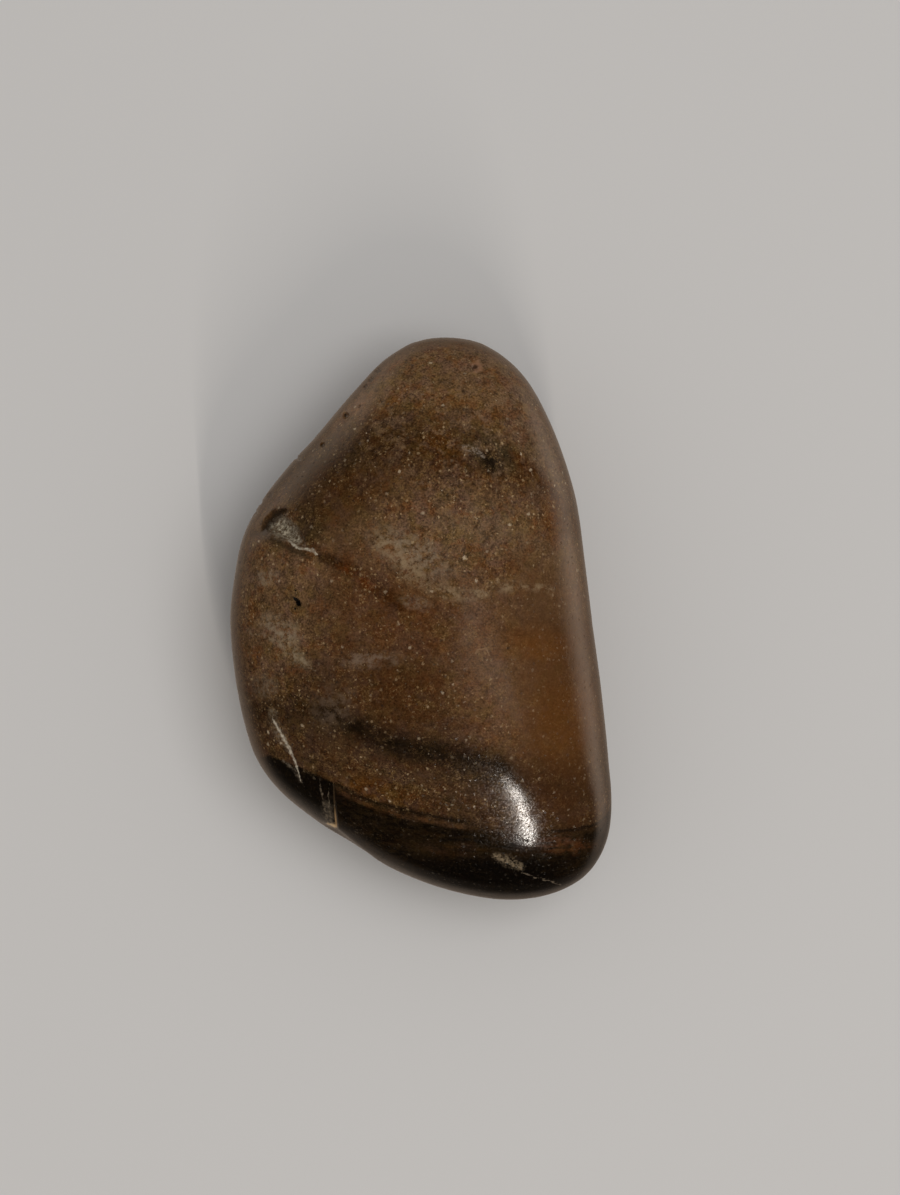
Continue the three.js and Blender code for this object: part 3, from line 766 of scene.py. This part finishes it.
# The polish: a satin gloss that the grains and the broken places break, and the relief of the grains.
gloss = between(web, mottle(web, place, 1.8, 3.0, 0.6, 5.5)[0], 0.25, 0.75, 0.09, 0.13)
gloss = maths(web, "ADD", gloss, both(middling_specks, 0.15))
gloss = maths(web, "ADD", gloss, both(dark_points, 0.3))
gloss = maths(web, "ADD", gloss, both(between(web, fine, 0.52, 0.6), 0.12))
gloss = maths(web, "MINIMUM", gloss, 0.8)
gloss = maths(web, "ADD", gloss, both(maths(web, "MAXIMUM", pocket, black_pit), 0.75))
height = both(fine, 0.004)
height = maths(web, "ADD", height, both(medium, 0.005))
height = maths(web, "SUBTRACT", height, both(middling_specks, 0.012))
height = maths(web, "SUBTRACT", height, both(large_specks, 0.008))
height = maths(web, "SUBTRACT", height, both(dark_points, 0.012))
height = maths(web, "ADD", height, both(pocket, broken_grain, 0.05))
bump = web.nodes.new("ShaderNodeBump")
bump.inputs["Strength"].default_value = 1.0
bump.inputs["Distance"].default_value = MM
feed(web, bump.inputs["Height"], height)
surface = web.nodes.new("ShaderNodeBsdfPrincipled")
surface.inputs["IOR"].default_value = 1.54
surface.inputs["Specular IOR Level"].default_value = 0.45
feed(web, surface.inputs["Base Color"], colour)
feed(web, surface.inputs["Roughness"], gloss)
feed(web, surface.inputs["Normal"], bump.outputs[0])
end = web.nodes.new("ShaderNodeOutputMaterial")
feed(web, end.inputs["Surface"], surface.outputs[0])


# Wear over the whole skin: the barrel leaves slow waves and shallow dimples that follow the surface.
wear = bpy.data.node_groups.new("tumbled wear", "GeometryNodeTree")
wear.interface.new_socket("Geometry", in_out="INPUT", socket_type="NodeSocketGeometry")
WEAR_SIZES = (("Wave length", 0.0026), ("Wave height", 0.00001), ("Dimple density", 90000.0),
              ("Dimple reach", 0.0005), ("Dimple depth", 0.00001))
for label, size in WEAR_SIZES:
    wear.interface.new_socket(label, in_out="INPUT", socket_type="NodeSocketFloat")
wear.interface.new_socket("Seed", in_out="INPUT", socket_type="NodeSocketInt")
wear.interface.new_socket("Finish", in_out="INPUT", socket_type="NodeSocketMaterial")
wear.interface.new_socket("Geometry", in_out="OUTPUT", socket_type="NodeSocketGeometry")
asked = wear.nodes.new("NodeGroupInput").outputs
answer = wear.nodes.new("NodeGroupOutput").inputs


def worked(kind, **links):
    """A geometry node with its named sockets fed."""
    made = wear.nodes.new(kind)
    for label, value in links.items():
        feed(wear, made.inputs[label.replace("_", " ").capitalize()], value)
    return made


def wear_maths(operation, first, second):
    """A Math node in the wear tree."""
    made = wear.nodes.new("ShaderNodeMath")
    made.operation = operation
    feed(wear, made.inputs[0], first)
    feed(wear, made.inputs[1], second)
    return made.outputs[0]


waves = wear.nodes.new("ShaderNodeTexNoise")
waves.inputs["Detail"].default_value = 1.0
feed(wear, waves.inputs["Scale"], wear_maths("DIVIDE", 1.0, asked["Wave length"]))
swell = wear_maths("MULTIPLY", wear_maths("SUBTRACT", waves.outputs["Fac"], 0.5), asked["Wave height"])
seeds = wear.nodes.new("GeometryNodeDistributePointsOnFaces")
feed(wear, seeds.inputs["Mesh"], asked["Geometry"])
feed(wear, seeds.inputs["Density"], asked["Dimple density"])
feed(wear, seeds.inputs["Seed"], asked["Seed"])
nearest = wear.nodes.new("GeometryNodeProximity")
nearest.target_element = "POINTS"
feed(wear, nearest.inputs[0], seeds.outputs["Points"])
hollow = wear.nodes.new("ShaderNodeMapRange")
hollow.interpolation_type = "SMOOTHSTEP"
feed(wear, hollow.inputs["Value"], nearest.outputs["Distance"])
feed(wear, hollow.inputs["From Min"], 0.0)
feed(wear, hollow.inputs["From Max"], asked["Dimple reach"])
feed(wear, hollow.inputs["To Min"], asked["Dimple depth"])
feed(wear, hollow.inputs["To Max"], 0.0)
moved_by = wear_maths("SUBTRACT", swell, hollow.outputs[0])
above_foot = wear.nodes.new("ShaderNodeSeparateXYZ")
feed(wear, above_foot.inputs[0], wear.nodes.new("GeometryNodeInputPosition").outputs[0])
off_foot = wear_maths("MINIMUM", wear_maths("MULTIPLY", above_foot.outputs[2], 1.0 / MM), 1.0)
moved_by = wear_maths("MULTIPLY", moved_by, off_foot)
push = wear.nodes.new("ShaderNodeVectorMath")
push.operation = "SCALE"
feed(wear, push.inputs[0], wear.nodes.new("GeometryNodeInputNormal").outputs[0])
feed(wear, push.inputs[3], moved_by)
shaped = wear.nodes.new("GeometryNodeSetPosition")
feed(wear, shaped.inputs["Geometry"], asked["Geometry"])
feed(wear, shaped.inputs["Offset"], push.outputs[0])
whole = wear.nodes.new("GeometryNodeRealizeInstances")
feed(wear, whole.inputs[0], shaped.outputs[0])
dressed = wear.nodes.new("GeometryNodeSetMaterial")
feed(wear, dressed.inputs["Geometry"], whole.outputs[0])
feed(wear, dressed.inputs["Material"], asked["Finish"])
feed(wear, answer["Geometry"], dressed.outputs[0])

tumbled = pebble.modifiers.new("tumbled wear", "NODES")
tumbled.node_group = wear
sockets = {item.name: item.identifier for item in wear.interface.items_tree if item.in_out == "INPUT"}
for label, size in WEAR_SIZES:
    tumbled[sockets[label]] = size
tumbled[sockets["Seed"]] = 7
tumbled[sockets["Finish"]] = jasper
finished = bpy.data.meshes.new_from_object(pebble.evaluated_get(bpy.context.evaluated_depsgraph_get()))
pebble.modifiers.clear()
pebble.data = finished
finished.polygons.foreach_set("use_smooth", np.ones(len(finished.polygons), bool))
finished.update()
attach(pebble, "root")
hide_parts("banded_jasper")


# The table that it lies on: a plain pale sheet, much larger than the stone.
FLOOR_REACH = 2.0
floor_mesh = bpy.data.meshes.new("pale_floor")
floor_corners = [(side * FLOOR_REACH, end_side * FLOOR_REACH, 0.0)
                 for side, end_side in ((-1, -1), (1, -1), (1, 1), (-1, 1))]
floor_mesh.from_pydata(floor_corners, [], [(0, 1, 2, 3)])
floor = bpy.data.objects.new("pale_floor", floor_mesh)
bpy.context.scene.collection.objects.link(floor)
paper = bpy.data.materials.new("pale_paper")
paper.use_nodes = True
paper.node_tree.nodes["Principled BSDF"].inputs["Base Color"].default_value = (0.62, 0.61, 0.6, 1.0)
paper.node_tree.nodes["Principled BSDF"].inputs["Roughness"].default_value = 0.9
floor_mesh.materials.append(paper)
floor.visible_glossy = False


# Studio light: a soft overhead light that leaves no gloss, a narrow strip beyond the broad end for
# the long gloss mark, a dim one for the ridge's sheen, and the studio round it.
LAMPS = (
    # name, direction from the stone, distance, width, length, roll, watts, shows in the gloss
    ("overhead", (0.30, 0.10, 0.95), 0.8, 0.5, 0.5, 0.0, 2.3, False),
    ("strip", (0.19, -0.765, 0.62), 0.6, 0.009, 0.27, -18.0, 0.75, True),
    ("ridge", (0.40, -0.10, 0.91), 0.6, 0.12, 0.3, 0.0, 0.04, True),
)
AIM_HEIGHT = 0.012
for name, direction, distance, width, length, roll, watts, glossy in LAMPS:
    lamp = bpy.data.lights.new(name, "AREA")
    lamp.shape = "RECTANGLE"
    lamp.size = width
    lamp.size_y = length
    lamp.energy = watts
    stand = bpy.data.objects.new(name, lamp)
    bpy.context.scene.collection.objects.link(stand)
    aim = Vector(direction).normalized()
    stand.location = aim * distance + Vector((0.0, 0.0, AIM_HEIGHT))
    facing_stone = aim.to_track_quat("Z", "Y") @ Quaternion((0.0, 0.0, 1.0), math.radians(roll))
    stand.rotation_euler = facing_stone.to_euler()
    stand.visible_glossy = glossy
    lamp.color = (1.0, 0.93, 0.85) if glossy else (1.0, 1.0, 1.0)

# The studio that the stone's gloss shows: dark above, with pale walls that stand higher towards the
# upper left and the right. Diffuse light from it is even.
sky = bpy.data.worlds.new("studio")
sky.use_nodes = True
sky.cycles.sampling_method = "NONE"
room = sky.node_tree
towards = room.nodes.new("ShaderNodeTexCoord").outputs["Generated"]
ray = room.nodes.new("ShaderNodeLightPath").outputs
room_axes = room.nodes.new("ShaderNodeSeparateXYZ")
feed(room, room_axes.inputs[0], towards)
to_upper_left = maths(room, "MAXIMUM", vectors(room, "DOT_PRODUCT", towards, (-0.77, 0.64, 0.0)), 0.0)
to_right = maths(room, "MAXIMUM", vectors(room, "DOT_PRODUCT", towards, (1.0, 0.08, 0.0)), 0.0)
to_upper_left = maths(room, "POWER", to_upper_left, 4.0)
to_right = maths(room, "POWER", to_right, 3.0)
wall_top = maths(room, "ADD", -0.65, maths(room, "MULTIPLY", to_upper_left, 0.4))
wall_top = maths(room, "ADD", wall_top, maths(room, "MULTIPLY", to_right, 0.6))
walls = between(room, maths(room, "SUBTRACT", room_axes.outputs[2], wall_top), 0.3, -0.3)
lit_side = maths(room, "MAXIMUM", to_upper_left, to_right)
lit_wall = maths(room, "MULTIPLY", lit_side, between(room, room_axes.outputs[2], -0.95, -0.3))
brightness = maths(room, "ADD", 0.2, maths(room, "MULTIPLY", lit_wall, 1.35))
seen_in_gloss = maths(room, "ADD", 0.02, maths(room, "MULTIPLY", walls, brightness))
strength = maths(room, "ADD", maths(room, "MULTIPLY", ray["Is Glossy Ray"], seen_in_gloss),
                 maths(room, "MULTIPLY", ray["Is Diffuse Ray"], 0.4))
strength = maths(room, "ADD", strength, maths(room, "MULTIPLY", ray["Is Camera Ray"], 0.6))
tint = over(room, ray["Is Glossy Ray"], (1.0, 0.975, 0.95, 1.0), (1.0, 0.8, 0.64, 1.0))
feed(room, room.nodes["Background"].inputs["Color"], tint)
feed(room, room.nodes["Background"].inputs["Strength"], strength)
bpy.context.scene.world = sky
bpy.context.scene.view_settings.view_transform = "Standard"


# The camera looks straight down from the photograph's place, with a long lens.
VIEW_HEIGHT = 0.08884
SENSOR = 36.0
LENS = 120.0
eye = bpy.data.cameras.new("camera")
eye.sensor_fit = "VERTICAL"
eye.sensor_height = SENSOR
eye.lens = LENS
eye.clip_start = 0.01
camera = bpy.data.objects.new("camera", eye)
camera.location = (0.00216, 0.0016, 0.008 + VIEW_HEIGHT * LENS / SENSOR)
bpy.context.scene.collection.objects.link(camera)
bpy.context.scene.camera = camera
